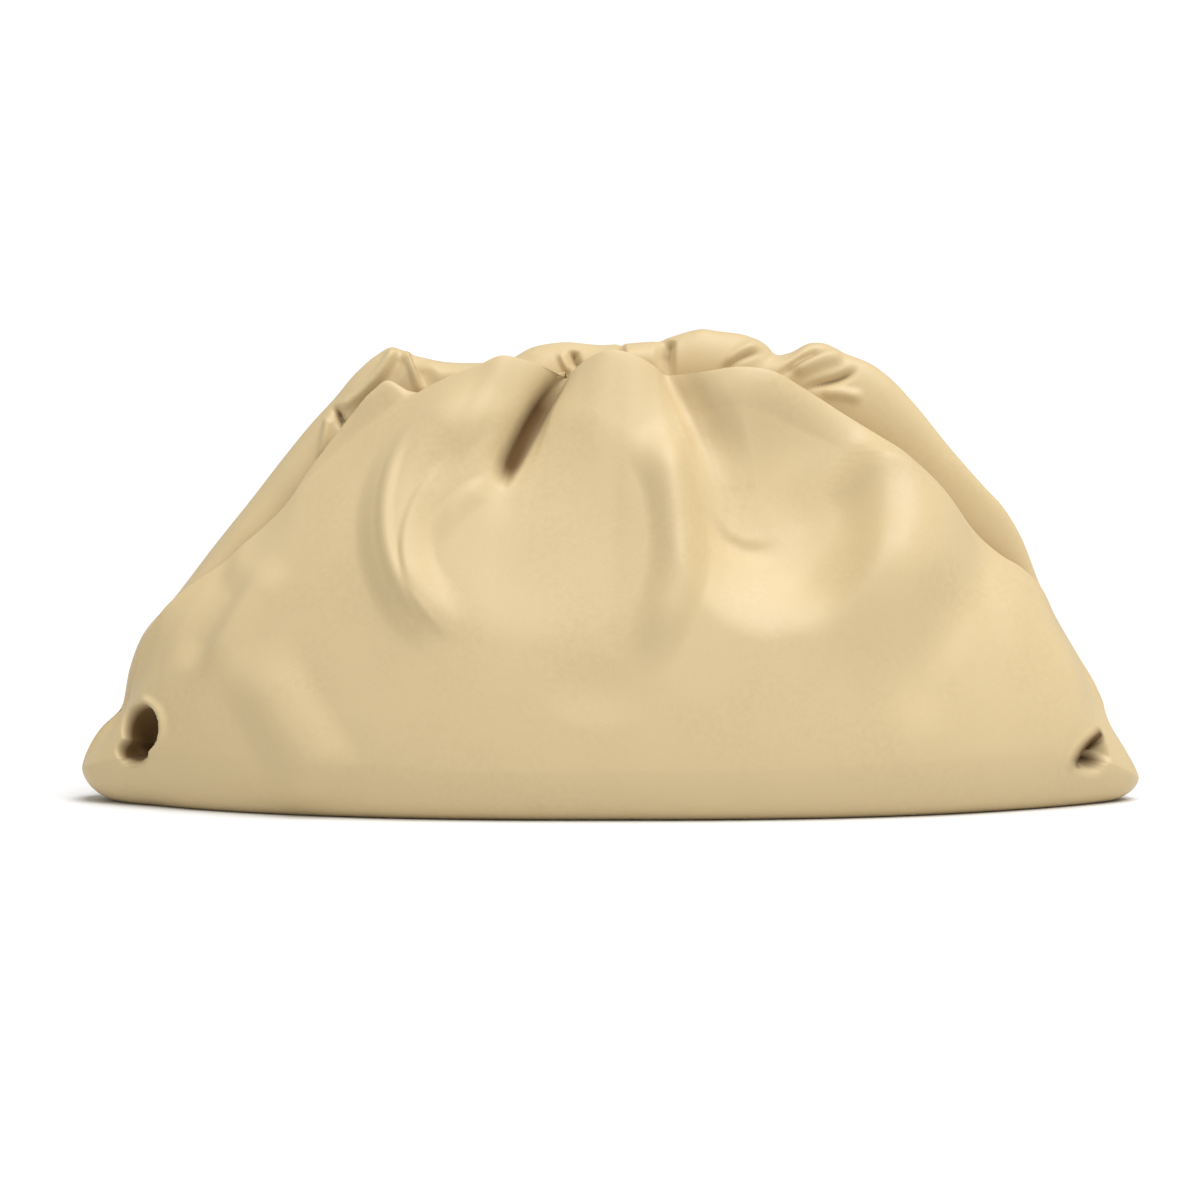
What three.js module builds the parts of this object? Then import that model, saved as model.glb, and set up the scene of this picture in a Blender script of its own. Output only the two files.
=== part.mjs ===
// A soft leather pouch bag, closed, with a gathered mouth that arches from corner to corner.
// Lengths are millimetres. X runs along the bag, Z is up, and the front looks towards -Y.

import * as THREE from 'three';

// Driving dimensions
const bagLength = 380;
const bagHeight = 168;
const bagDepth = 150;
const leatherThickness = 2;
const seamGap = 0.3;
const mouthGap = 2;
const railHeight = 6;
const railWidth = 4;
const railGap = 0.6;

// Worked out from the driving dimensions
const halfLength = bagLength / 2;
const halfDepth = bagDepth / 2;

// The folds are laid out as seen from slightly above the front, so depth lifts what lies behind.
const viewSlope = 0.087;

// How much of the body's folds reaches each lip's crest
const frontCrestShare = 0.1;
const backCrestShare = 0.1;

// The lobes of a lip are told from its arch by this reach, a share of the way along the mouth,
// and they fade out over this share of the way from the crest to the belly.
const lobeReach = 0.05;
const lobeFade = 0.5;

// Just outside its crest a lip falls away by this share, within this share of the way out
const lipSlope = 0.3;
const lipSlopeReach = 0.35;

// Near each end of the mouth the space between the flaps closes over this share of its length
const mouthClosing = 0.06;

// The hidden frame starts this share of the way along the mouth, and ends as far from its other end
const frameStart = 0.12;

// How soon the lip's folds and the body's folds come in, counted in lip rolls and panel heights
const rollOnset = 2;
const lipFoldFade = 4;
const bodyFoldOnset = 3;

// How finely each panel is divided
const columnCount = 65;
const endCrowding = 0.55;
const frontBands = { flapSteps: 2, rollSteps: 2, upperSteps: 12, lowerSteps: 4, baseSteps: 2 };
const backBands = { flapSteps: 2, rollSteps: 3, upperSteps: 8, lowerSteps: 4, baseSteps: 2 };
const foldSteps = 24;
const lobeSamples = 9;
const railSteps = 44;

// Crests of the two lips, left to right: [along, across, up],
// as shares of half the length, half the depth and the height.
const frontCrestRows = [
  [-0.919, 0.000, 0.195],
  [-0.904, -0.053, 0.238],
  [-0.890, -0.107, 0.302],
  [-0.860, -0.133, 0.380],
  [-0.836, -0.147, 0.419],
  [-0.760, -0.147, 0.487],
  [-0.692, -0.160, 0.550],
  [-0.618, -0.173, 0.625],
  [-0.528, -0.173, 0.734],
  [-0.420, -0.187, 0.833],
  [-0.303, -0.227, 0.911],
  [-0.201, -0.267, 0.958],
  [-0.141, -0.227, 0.940],
  [-0.082, -0.107, 0.909],
  [-0.041, -0.227, 0.949],
  [0.007, -0.267, 0.969],
  [0.059, -0.227, 0.951],
  [0.105, -0.107, 0.908],
  [0.156, -0.213, 0.919],
  [0.252, -0.253, 0.934],
  [0.362, -0.200, 0.889],
  [0.507, -0.147, 0.780],
  [0.607, -0.093, 0.675],
  [0.675, -0.040, 0.588],
  [0.743, 0.000, 0.520],
  [0.800, 0.013, 0.475],
  [0.843, 0.013, 0.391],
  [0.889, 0.013, 0.304],
  [0.919, 0.013, 0.246],
  [0.936, 0.007, 0.197],
  [0.938, 0.000, 0.153],
];
const backCrestRows = [
  [-0.922, 0.000, 0.193],
  [-0.915, 0.040, 0.239],
  [-0.898, 0.080, 0.318],
  [-0.858, 0.107, 0.383],
  [-0.788, 0.107, 0.482],
  [-0.709, 0.107, 0.597],
  [-0.615, 0.107, 0.732],
  [-0.520, 0.107, 0.855],
  [-0.460, 0.107, 0.930],
  [-0.415, 0.107, 0.962],
  [-0.324, 0.120, 0.938],
  [-0.225, 0.120, 0.934],
  [-0.131, 0.120, 0.953],
  [-0.080, 0.120, 0.972],
  [0.022, 0.120, 0.973],
  [0.093, 0.120, 0.979],
  [0.175, 0.133, 1.000],
  [0.262, 0.133, 0.988],
  [0.322, 0.120, 0.955],
  [0.392, 0.133, 0.972],
  [0.498, 0.133, 0.927],
  [0.575, 0.133, 0.846],
  [0.641, 0.133, 0.754],
  [0.709, 0.133, 0.667],
  [0.766, 0.150, 0.585],
  [0.800, 0.155, 0.503],
  [0.843, 0.150, 0.382],
  [0.889, 0.125, 0.293],
  [0.917, 0.090, 0.239],
  [0.932, 0.050, 0.197],
  [0.936, 0.000, 0.151],
];

// The slit between the lips: [station, across, drop, flapAlong, flapUp]. A station is the share
// of the way along the mouth. Across is a share of half the depth, drop is how far the slit lies
// inside the front crest as a share of half the length, and the last two place the flap's edge.
const slitRows = [
  [0.00, 0.000, 0.008, -0.890, 0.193],
  [0.03, -0.027, 0.011, -0.855, 0.262],
  [0.08, -0.080, 0.016, -0.783, 0.375],
  [0.15, -0.090, 0.018, -0.635, 0.475],
  [0.25, -0.073, 0.018, -0.455, 0.615],
  [0.35, -0.053, 0.022, -0.270, 0.715],
  [0.42, -0.043, 0.025, -0.140, 0.745],
  [0.50, -0.033, 0.026, 0.000, 0.755],
  [0.58, -0.025, 0.026, 0.140, 0.745],
  [0.65, -0.020, 0.024, 0.300, 0.715],
  [0.75, 0.011, 0.020, 0.485, 0.605],
  [0.85, 0.072, 0.025, 0.663, 0.460],
  [0.92, 0.080, 0.025, 0.784, 0.338],
  [0.97, 0.046, 0.018, 0.867, 0.230],
  [1.00, 0.000, 0.008, 0.909, 0.153],
];

// The body below the lips, the same at the front and back: [station, bellyAlong, bellyOut, bellyUp,
// footAlong, footOut, seamAlong, upperPull, lowerPull]. A pull of 1 is a full round, 2 a flat slope.
const bodyRows = [
  [0.000, -0.998, 0.000, 0.068, -0.926, 0.000, -0.884, 1.55, 1.10],
  [0.020, -0.989, 0.107, 0.074, -0.921, 0.080, -0.874, 1.80, 1.10],
  [0.045, -0.953, 0.213, 0.089, -0.900, 0.160, -0.853, 1.90, 1.10],
  [0.080, -0.889, 0.333, 0.107, -0.853, 0.253, -0.821, 1.60, 1.10],
  [0.130, -0.795, 0.507, 0.119, -0.774, 0.413, -0.753, 1.40, 1.05],
  [0.200, -0.653, 0.707, 0.119, -0.637, 0.600, -0.621, 1.40, 1.00],
  [0.300, -0.442, 0.893, 0.113, -0.426, 0.773, -0.421, 1.45, 1.00],
  [0.400, -0.221, 0.980, 0.107, -0.211, 0.853, -0.211, 1.50, 1.00],
  [0.500, 0.000, 0.993, 0.107, 0.000, 0.867, 0.000, 1.50, 1.00],
  [0.600, 0.221, 0.980, 0.107, 0.216, 0.853, 0.211, 1.50, 1.00],
  [0.700, 0.447, 0.893, 0.113, 0.437, 0.773, 0.432, 1.45, 1.00],
  [0.800, 0.663, 0.720, 0.119, 0.642, 0.600, 0.632, 1.35, 1.00],
  [0.870, 0.805, 0.520, 0.119, 0.779, 0.413, 0.758, 1.25, 1.05],
  [0.920, 0.895, 0.360, 0.107, 0.863, 0.267, 0.826, 1.25, 1.10],
  [0.955, 0.953, 0.227, 0.083, 0.911, 0.160, 0.863, 1.40, 1.10],
  [0.980, 0.989, 0.107, 0.060, 0.937, 0.080, 0.884, 1.50, 1.10],
  [1.000, 1.002, 0.000, 0.048, 0.947, 0.000, 0.905, 1.45, 1.10],
];

// Folds, each a bowed path in the front view: [startAlong, startUp, bowAlong, bowUp, turnAlong,
// turnUp, endAlong, endUp, widthLeft, widthRight, rise, startFade, endFade]. Widths are shares of
// half the length, a rise is a share of half the depth, and a negative rise is a valley.
const frontFoldRows = [
  [-0.207, 0.887, -0.411, 0.770, -0.513, 0.514, -0.279, 0.339, 0.076, 0.113, 0.053, 0.25, 0.25],
  [0.058, 0.770, 0.160, 0.663, 0.171, 0.450, 0.042, 0.283, 0.057, 0.083, 0.040, 0.30, 0.25],
  [0.445, 0.802, 0.609, 0.706, 0.594, 0.460, 0.303, 0.321, 0.091, 0.170, 0.113, 0.25, 0.22],
  [-0.082, 0.915, -0.109, 0.855, -0.154, 0.791, -0.201, 0.676, 0.079, 0.057, -0.093, 0.08, 0.15],
  [0.107, 0.915, 0.129, 0.855, 0.156, 0.770, 0.201, 0.667, 0.045, 0.060, -0.060, 0.10, 0.50],
  [0.624, 0.514, 0.596, 0.385, 0.577, 0.257, 0.586, 0.129, 0.076, 0.076, -0.021, 0.30, 0.30],
  [0.511, 0.770, 0.662, 0.642, 0.737, 0.514, 0.756, 0.215, 0.076, 0.094, 0.027, 0.20, 0.40],
  [-0.679, 0.514, -0.732, 0.428, -0.764, 0.364, -0.802, 0.268, 0.049, 0.049, -0.019, 0.30, 0.30],
  [-0.603, 0.514, -0.664, 0.450, -0.717, 0.364, -0.764, 0.236, 0.049, 0.053, 0.019, 0.30, 0.30],
  [-0.679, 0.343, -0.641, 0.236, -0.584, 0.129, -0.499, 0.012, 0.076, 0.068, 0.019, 0.40, 0.20],
  [-0.904, 0.202, -0.868, 0.189, -0.841, 0.133, -0.898, 0.091, 0.060, 0.038, -0.107, 0.12, 0.20],
  [0.930, 0.138, 0.896, 0.129, 0.866, 0.104, 0.862, 0.065, 0.042, 0.055, -0.065, 0.15, 0.25],
];
const backLipFoldRows = [
  [0.107, 0.995, 0.107, 0.958, 0.107, 0.928, 0.109, 0.894, 0.038, 0.038, -0.060, 0.05, 0.05],
  [0.313, 0.894, 0.341, 0.928, 0.371, 0.949, 0.409, 0.964, 0.034, 0.034, -0.040, 0.10, 0.20],
  [-0.409, 0.977, -0.449, 0.915, -0.490, 0.855, -0.543, 0.791, 0.034, 0.034, 0.035, 0.15, 0.30],
];

// Soft hollows in the front: [along, up, halfWidth, halfHeight, rise, flatness, tilt]. Flatness
// says how flat the floor is, and tilt how much deeper it lies at its top than at its middle.
const frontHollowRows = [
  [-0.131, 0.586, 0.268, 0.261, -0.080, 1.5, 0.4],
  [0.292, 0.642, 0.219, 0.286, -0.213, 1.4, 0.0],
  [-0.037, 0.266, 0.113, 0.094, -0.020, 1.0, 0.0],
];

// Folds of the back panel's rear face, laid out in the same front view.
const rearFoldRows = [
  [-0.300, 0.900, -0.380, 0.720, -0.400, 0.560, -0.300, 0.360, 0.080, 0.090, 0.070, 0.25, 0.30],
  [0.020, 0.930, 0.110, 0.760, 0.090, 0.560, -0.020, 0.400, 0.080, 0.080, 0.070, 0.25, 0.30],
  [0.330, 0.920, 0.430, 0.780, 0.470, 0.560, 0.380, 0.340, 0.090, 0.090, 0.075, 0.25, 0.30],
  [-0.130, 0.920, -0.120, 0.850, -0.110, 0.780, -0.130, 0.690, 0.050, 0.050, -0.055, 0.15, 0.40],
  [0.200, 0.920, 0.210, 0.860, 0.230, 0.780, 0.240, 0.680, 0.050, 0.050, -0.055, 0.15, 0.40],
];
const rearHollowRows = [
  [-0.170, 0.560, 0.180, 0.230, -0.075, 1.0, 0.0],
  [0.230, 0.540, 0.170, 0.230, -0.080, 1.0, 0.0],
  [-0.600, 0.420, 0.150, 0.180, -0.050, 1.0, 0.0],
  [-0.875, 0.130, 0.045, 0.070, -0.080, 1.0, 0.0],
  [0.885, 0.115, 0.045, 0.060, -0.080, 1.0, 0.0],
];

// The flaps and the lips' inner sides point at a spot low inside the bag, nearer its middle.
const heartPull = 0.3;
const heartUp = 0.15;

function mix(from, to, share) {
  return from + (to - from) * share;
}

function clamp01(value) {
  return Math.min(1, Math.max(0, value));
}

function smoothStep(value) {
  const t = clamp01(value);
  return t * t * (3 - 2 * t);
}

// Stations of the rows of a crest, by the straight distance between them, from 0 to 1.
function chordStations(points) {
  const stations = [0];
  for (let i = 1; i < points.length; i += 1) {
    const step = Math.hypot(...points[i].map((value, k) => value - points[i - 1][k]));
    stations.push(stations[i - 1] + step);
  }
  return stations.map((value) => value / stations[points.length - 1]);
}

// A smooth curve through the rows of a table, read at one station.
function curveThrough(stations, rows, at) {
  const last = rows.length - 1;
  let i = 0;
  while (i < last - 1 && at >= stations[i + 1]) i += 1;
  const span = (k) => stations[k + 1] - stations[k];
  const slope = (k, c) => (rows[k + 1][c] - rows[k][c]) / span(k);
  const inner = (k, c) => {
    const weighted = slope(k - 1, c) * span(k) + slope(k, c) * span(k - 1);
    return weighted / (span(k) + span(k - 1));
  };
  const tangent = (k, c) => {
    if (k === 0) return 1.5 * slope(0, c) - 0.5 * inner(1, c);
    if (k === last) return 1.5 * slope(last - 1, c) - 0.5 * inner(last - 1, c);
    return inner(k, c);
  };
  const h = span(i);
  const q = (at - stations[i]) / h;
  return rows[i].map((start, c) => {
    const end = rows[i + 1][c];
    const leave = tangent(i, c) * h * (q ** 3 - 2 * q ** 2 + q);
    const arrive = tangent(i + 1, c) * h * (q ** 3 - q ** 2);
    return mix(start, end, 3 * q ** 2 - 2 * q ** 3) + leave + arrive;
  });
}

// A reader for a table whose first column is the station.
function stationTable(rows) {
  const stations = rows.map((row) => row[0]);
  const values = rows.map((row) => row.slice(1));
  return (at) => curveThrough(stations, values, at);
}

// A reader for a lip's crest, in millimetres.
function crestCurve(rows) {
  const points = rows.map(([along, across, up]) => (
    [along * halfLength, across * halfDepth, up * bagHeight]
  ));
  const stations = chordStations(points);
  return (at) => new THREE.Vector3(...curveThrough(stations, points, at));
}

// The crest with its lobes smoothed away: the mean of its places within a short reach.
function smoothedCrest(crest, station) {
  const reach = Math.min(lobeReach, station, 1 - station);
  const mean = new THREE.Vector3();
  for (let k = 0; k < lobeSamples; k += 1) {
    const share = 2 * k / (lobeSamples - 1) - 1;
    mean.addScaledVector(crest(station + share * reach), 1 / lobeSamples);
  }
  return mean;
}

const frontCrest = crestCurve(frontCrestRows);
const backCrest = crestCurve(backCrestRows);
const slitTable = stationTable(slitRows);
const bodyTable = stationTable(bodyRows);

// The unit direction, in the front view, from a point of the mouth towards the inside of the bag.
function inwardFrom(point) {
  const inward = new THREE.Vector3((heartPull - 1) * point.x, 0, heartUp * bagHeight - point.z);
  return inward.normalize();
}

// The middle of the slit and the lower edge of the flaps at one station.
function slitAt(station) {
  const [across, drop, flapAlong, flapUp] = slitTable(station);
  const crest = frontCrest(station);
  const slit = crest.clone().addScaledVector(inwardFrom(crest), drop * halfLength);
  slit.y = across * halfDepth;
  const flapEdge = new THREE.Vector3(flapAlong * halfLength, slit.y, flapUp * bagHeight);
  return { slit, flapEdge };
}

// Half the space between the flaps, which closes up to the seam at both ends of the mouth.
function halfMouthGap(station) {
  const open = clamp01(Math.min(station, 1 - station) / mouthClosing);
  return mix(seamGap, mouthGap, open) / 2;
}

// A point that mixes two others by one share along and another across and up.
function blendPoint(from, to, along, across, up) {
  return new THREE.Vector3(mix(from.x, to.x, along), mix(from.y, to.y, across), mix(from.z, to.z, up));
}

// The outer surface of a panel at one station, from the flap's edge to the bottom seam.
// side is -1 for the front and 1 for the back.
function columnOf(side, station, bands) {
  const crestOfSide = side < 0 ? frontCrest : backCrest;
  const crest = crestOfSide(station);
  const arch = smoothedCrest(crestOfSide, station);
  const lobe = crest.clone().sub(arch);
  const { slit, flapEdge } = slitAt(station);
  slit.y += side * halfMouthGap(station);
  flapEdge.y += side * halfMouthGap(station);
  const row = bodyTable(station);
  const [bellyAlong, bellyOut, bellyUp, footAlong, footOut, seamAlong, upperPull, lowerPull] = row;
  const place = (along, out, up) => (
    new THREE.Vector3(along * halfLength, side * out * halfDepth, up * bagHeight)
  );
  const belly = place(bellyAlong, bellyOut, bellyUp);
  const foot = place(footAlong, footOut, 0);
  const seam = new THREE.Vector3(seamAlong * halfLength, side * seamGap / 2, 0);
  const points = [];
  const quarter = (step, count) => (step / count) * Math.PI / 2;
  for (let k = 0; k < bands.flapSteps; k += 1) {
    points.push(flapEdge.clone().lerp(slit, k / bands.flapSteps));
  }
  for (let k = 0; k < bands.rollSteps; k += 1) {
    const out = 1 - Math.cos(quarter(k, bands.rollSteps));
    const up = Math.sin(quarter(k, bands.rollSteps));
    points.push(blendPoint(slit, crest, up, out, up));
  }
  for (let k = 0; k < bands.upperSteps; k += 1) {
    const out = Math.sin(quarter(k, bands.upperSteps)) ** upperPull;
    const fall = lipSlope * out * Math.exp(-((out / lipSlopeReach) ** 2));
    const up = Math.cos(quarter(k, bands.upperSteps)) ** upperPull * (1 - fall);
    const point = blendPoint(arch, belly, out, out, 1 - up);
    points.push(point.addScaledVector(lobe, smoothStep(1 - k / bands.upperSteps / lobeFade)));
  }
  for (let k = 0; k < bands.lowerSteps; k += 1) {
    const out = Math.cos(quarter(k, bands.lowerSteps)) ** lowerPull;
    const up = 1 - Math.sin(quarter(k, bands.lowerSteps)) ** lowerPull;
    points.push(blendPoint(foot, belly, out, out, up));
  }
  for (let k = 0; k <= bands.baseSteps; k += 1) {
    points.push(foot.clone().lerp(seam, k / bands.baseSteps));
  }
  return points;
}

// How much of the lip's folds and of the body's folds each point down a column takes.
// The flap and the flat base take none, and the body's folds start at crestShare on the crest.
function foldShares(bands, crestShare) {
  const shares = [];
  for (let k = 0; k < bands.flapSteps; k += 1) shares.push({ lip: 0, body: 0 });
  for (let k = 0; k < bands.rollSteps; k += 1) {
    const along = k / bands.rollSteps;
    shares.push({ lip: smoothStep(rollOnset * along), body: crestShare * along });
  }
  for (let k = 0; k < bands.upperSteps; k += 1) {
    const down = k / bands.upperSteps;
    shares.push({
      lip: smoothStep(1 - lipFoldFade * down),
      body: mix(crestShare, 1, clamp01(bodyFoldOnset * down)),
    });
  }
  for (let k = 0; k < bands.lowerSteps; k += 1) {
    shares.push({ lip: 0, body: 1 - k / bands.lowerSteps });
  }
  for (let k = 0; k <= bands.baseSteps; k += 1) shares.push({ lip: 0, body: 0 });
  return shares;
}

// The path of a fold as points in the front view.
function foldPath(row) {
  const corners = [0, 2, 4, 6].map((k) => (
    new THREE.Vector2(row[k] * halfLength, row[k + 1] * bagHeight)
  ));
  return new THREE.CubicBezierCurve(...corners).getPoints(foldSteps);
}

// The nearest place on a path to a point: distance, share of the way along, and which side.
function nearestOnPath(path, along, up) {
  let best = { distance: Infinity, share: 0, side: 0 };
  for (let k = 0; k < path.length - 1; k += 1) {
    const step = path[k + 1].clone().sub(path[k]);
    const t = clamp01(((along - path[k].x) * step.x + (up - path[k].y) * step.y) / step.lengthSq());
    const offAlong = along - path[k].x - t * step.x;
    const offUp = up - path[k].y - t * step.y;
    const distance = Math.hypot(offAlong, offUp);
    if (distance < best.distance) {
      best = { distance, share: (k + t) / (path.length - 1), side: step.x * offUp - step.y * offAlong };
    }
  }
  return best;
}

// The rise of one fold over a point of the front view.
function foldReader(row) {
  const path = foldPath(row);
  const [widthLeft, widthRight, rise, startFade, endFade] = row.slice(8);
  return (along, up) => {
    const near = nearestOnPath(path, along, up);
    const width = (near.side > 0 ? widthRight : widthLeft) * halfLength;
    const across = Math.min(1, near.distance / width);
    const fade = smoothStep(near.share / startFade) * smoothStep((1 - near.share) / endFade);
    return rise * halfDepth * (1 - across ** 2) ** 2 * fade;
  };
}

// The rise of one soft hollow over a point of the front view.
function hollowReader([along, up, halfWidth, halfHigh, rise, flatness, tilt]) {
  return (atAlong, atUp) => {
    const offAlong = (atAlong - along * halfLength) / (halfWidth * halfLength);
    const offUp = (atUp - up * bagHeight) / (halfHigh * bagHeight);
    const across = Math.min(1, offAlong ** 2 + offUp ** 2);
    return rise * halfDepth * (1 - across ** flatness) ** 2 * (1 + tilt * offUp);
  };
}

// Stations of the columns, crowded towards both ends of the mouth.
function columnStations() {
  const stations = [];
  for (let i = 0; i < columnCount; i += 1) {
    const even = i / (columnCount - 1);
    const crowded = (1 - Math.cos(even * Math.PI)) / 2;
    stations.push(mix(even, crowded, endCrowding));
  }
  return stations;
}

// Outward directions of a grid of points, from the steps to its neighbours.
function gridNormals(grid, side) {
  const lastColumn = grid.length - 1;
  const lastRow = grid[0].length - 1;
  return grid.map((column, i) => column.map((point, j) => {
    const along = grid[Math.min(i + 1, lastColumn)][j].clone().sub(grid[Math.max(i - 1, 0)][j]);
    const down = column[Math.min(j + 1, lastRow)].clone().sub(column[Math.max(j - 1, 0)]);
    return down.cross(along).normalize().multiplyScalar(-side);
  }));
}

// Puts the side edges and the bottom edge of a panel on the seam.
function closeOnSeam(grid, side) {
  const lastColumn = grid.length - 1;
  const lastRow = grid[0].length - 1;
  grid.forEach((column, i) => column.forEach((point, j) => {
    if (i === 0 || i === lastColumn || j === lastRow) point.y = side * seamGap / 2;
  }));
}

// Moves each point of a grid along its outward direction by what the fold readers give.
function addFolds(grid, side, shares, readers) {
  const normals = gridNormals(grid, side);
  const total = (list, along, up) => list.reduce((sum, read) => sum + read(along, up), 0);
  grid.forEach((column, i) => column.forEach((point, j) => {
    const up = point.z + viewSlope * point.y;
    const lipRise = shares[j].lip * total(readers.lip, point.x, up);
    const bodyRise = shares[j].body * total(readers.body, point.x, up);
    point.addScaledVector(normals[i][j], lipRise + bodyRise);
  }));
}

// The inner surface, one leather thickness inside the outer one.
function innerGrid(grid, side, bands) {
  const normals = gridNormals(grid, side);
  const firstBaseRow = grid[0].length - 1 - bands.baseSteps;
  return grid.map((column, i) => column.map((point, j) => {
    const inner = point.clone().addScaledVector(normals[i][j], -leatherThickness);
    if (j >= firstBaseRow) inner.z = leatherThickness;
    return inner;
  }));
}

// One closed sheet from an outer and an inner grid.
function sheetGeometry(outer, inner, side) {
  const columns = outer.length;
  const rows = outer[0].length;
  const positions = [];
  [outer, inner].forEach((grid) => grid.forEach((column) => column.forEach((point) => {
    positions.push(point.x, point.y, point.z);
  })));
  const outerAt = (i, j) => i * rows + j;
  const innerAt = (i, j) => columns * rows + i * rows + j;
  const index = [];
  const addQuad = (a, b, c, d) => {
    const corners = side < 0 ? [a, b, c, a, c, d] : [a, c, b, a, d, c];
    index.push(...corners);
  };
  for (let i = 0; i < columns - 1; i += 1) {
    for (let j = 0; j < rows - 1; j += 1) {
      addQuad(outerAt(i, j), outerAt(i, j + 1), outerAt(i + 1, j + 1), outerAt(i + 1, j));
      addQuad(innerAt(i, j), innerAt(i + 1, j), innerAt(i + 1, j + 1), innerAt(i, j + 1));
    }
  }
  const end = columns - 1;
  const lastRow = rows - 1;
  for (let i = 0; i < end; i += 1) {
    const next = i + 1;
    addQuad(outerAt(i, 0), outerAt(next, 0), innerAt(next, 0), innerAt(i, 0));
    addQuad(outerAt(next, lastRow), outerAt(i, lastRow), innerAt(i, lastRow), innerAt(next, lastRow));
  }
  for (let j = 0; j < lastRow; j += 1) {
    const next = j + 1;
    addQuad(outerAt(0, next), outerAt(0, j), innerAt(0, j), innerAt(0, next));
    addQuad(outerAt(end, j), outerAt(end, next), innerAt(end, next), innerAt(end, j));
  }
  const geometry = new THREE.BufferGeometry();
  geometry.setAttribute('position', new THREE.Float32BufferAttribute(positions, 3));
  geometry.setIndex(index);
  geometry.computeVertexNormals();
  return geometry;
}

function leatherMaterial() {
  return new THREE.MeshStandardMaterial({ color: 0xdfc79c, roughness: 0.45, metalness: 0 });
}

function steelMaterial() {
  return new THREE.MeshStandardMaterial({ color: 0xb8b8b4, roughness: 0.35, metalness: 1 });
}

// One leather panel, from its flap inside the mouth down to the seam under the bag.
function makePanel(name, side, bands, crestShare, readers) {
  const outer = columnStations().map((station) => columnOf(side, station, bands));
  addFolds(outer, side, foldShares(bands, crestShare), readers);
  closeOnSeam(outer, side);
  const inner = innerGrid(outer, side, bands);
  closeOnSeam(inner, side);
  const panel = new THREE.Mesh(sheetGeometry(outer, inner, side), leatherMaterial());
  panel.name = name;
  return panel;
}

// The hidden frame of the mouth, closed, as one bent bar that follows the lower edges of the flaps.
function makeClosureFrame() {
  const reach = railHeight / 2 + railGap;
  const route = [];
  for (let k = 0; k <= railSteps; k += 1) {
    const station = mix(frameStart, 1 - frameStart, k / railSteps);
    const { flapEdge } = slitAt(station);
    route.push(flapEdge.addScaledVector(inwardFrom(flapEdge), reach));
  }
  const section = new THREE.Shape();
  section.moveTo(-railHeight / 2, -railWidth / 2);
  section.lineTo(railHeight / 2, -railWidth / 2);
  section.lineTo(railHeight / 2, railWidth / 2);
  section.lineTo(-railHeight / 2, railWidth / 2);
  section.closePath();
  const geometry = new THREE.ExtrudeGeometry(section, {
    steps: railSteps,
    extrudePath: new THREE.CatmullRomCurve3(route),
    bevelEnabled: false,
  });
  const frame = new THREE.Mesh(geometry, steelMaterial());
  frame.name = 'closure_frame';
  return frame;
}

function makeBag() {
  const frontReaders = {
    lip: [],
    body: [...frontFoldRows.map(foldReader), ...frontHollowRows.map(hollowReader)],
  };
  const backReaders = {
    lip: backLipFoldRows.map(foldReader),
    body: [...rearFoldRows.map(foldReader), ...rearHollowRows.map(hollowReader)],
  };
  const bag = new THREE.Group();
  bag.add(makePanel('front_panel', -1, frontBands, frontCrestShare, frontReaders));
  bag.add(makePanel('back_panel', 1, backBands, backCrestShare, backReaders));
  bag.add(makeClosureFrame());
  const box = new THREE.Box3().setFromObject(bag);
  const centre = box.getCenter(new THREE.Vector3());
  bag.position.set(-centre.x, -centre.y, -box.min.z);
  return bag;
}

export default makeBag();
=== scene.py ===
# A soft leather pouch bag, closed, with a gathered mouth that arches from corner to corner.
# Lengths are metres unless a name says otherwise. X runs along the bag and the front looks to -Y.

import math
from collections import namedtuple

import bpy
import numpy as np
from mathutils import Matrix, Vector


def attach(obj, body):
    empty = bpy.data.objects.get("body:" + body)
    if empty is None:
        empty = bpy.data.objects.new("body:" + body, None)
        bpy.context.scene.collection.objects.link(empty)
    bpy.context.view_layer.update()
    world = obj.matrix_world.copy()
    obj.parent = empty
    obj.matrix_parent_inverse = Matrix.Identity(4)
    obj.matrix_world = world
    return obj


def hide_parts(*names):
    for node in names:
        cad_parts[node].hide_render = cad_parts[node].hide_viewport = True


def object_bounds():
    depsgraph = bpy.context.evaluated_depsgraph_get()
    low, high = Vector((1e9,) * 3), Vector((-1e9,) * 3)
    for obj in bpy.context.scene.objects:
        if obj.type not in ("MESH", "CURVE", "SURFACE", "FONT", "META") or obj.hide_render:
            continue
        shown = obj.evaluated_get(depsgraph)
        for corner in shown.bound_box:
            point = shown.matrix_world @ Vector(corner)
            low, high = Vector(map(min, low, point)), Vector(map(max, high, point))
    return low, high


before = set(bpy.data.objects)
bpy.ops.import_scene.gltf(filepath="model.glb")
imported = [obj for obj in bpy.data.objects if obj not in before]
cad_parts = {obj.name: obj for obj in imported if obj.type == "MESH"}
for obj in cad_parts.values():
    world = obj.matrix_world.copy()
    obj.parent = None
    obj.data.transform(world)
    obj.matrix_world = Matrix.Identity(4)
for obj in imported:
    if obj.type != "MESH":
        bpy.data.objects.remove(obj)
cad_low, cad_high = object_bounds()

# Driving dimensions
length_mm = 380
leather_mm = 1.9
seam_gap_mm = 0.3
mouth_gap_mm = 2.0

# One design millimetre in the frame's metres
mm = (cad_high.x - cad_low.x) / length_mm

# The front view: where the bag's middle and the floor lie in the 1200 by 1200 picture,
# how many pixels the bag is long, and how much depth lifts what lies behind.
middle_px = 609.5
floor_px = 800.5
length_px = 1059
view_slope = 0.087
px = length_mm / length_px

# The mouth opens to its full gap over this share of the way along it at each end
mouth_open_reach = 0.06

# Inside the mouth the flaps aim at this height, and this share of the way to the bag's middle
flap_aim_height_mm = 25
flap_aim_share = 0.7

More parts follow.
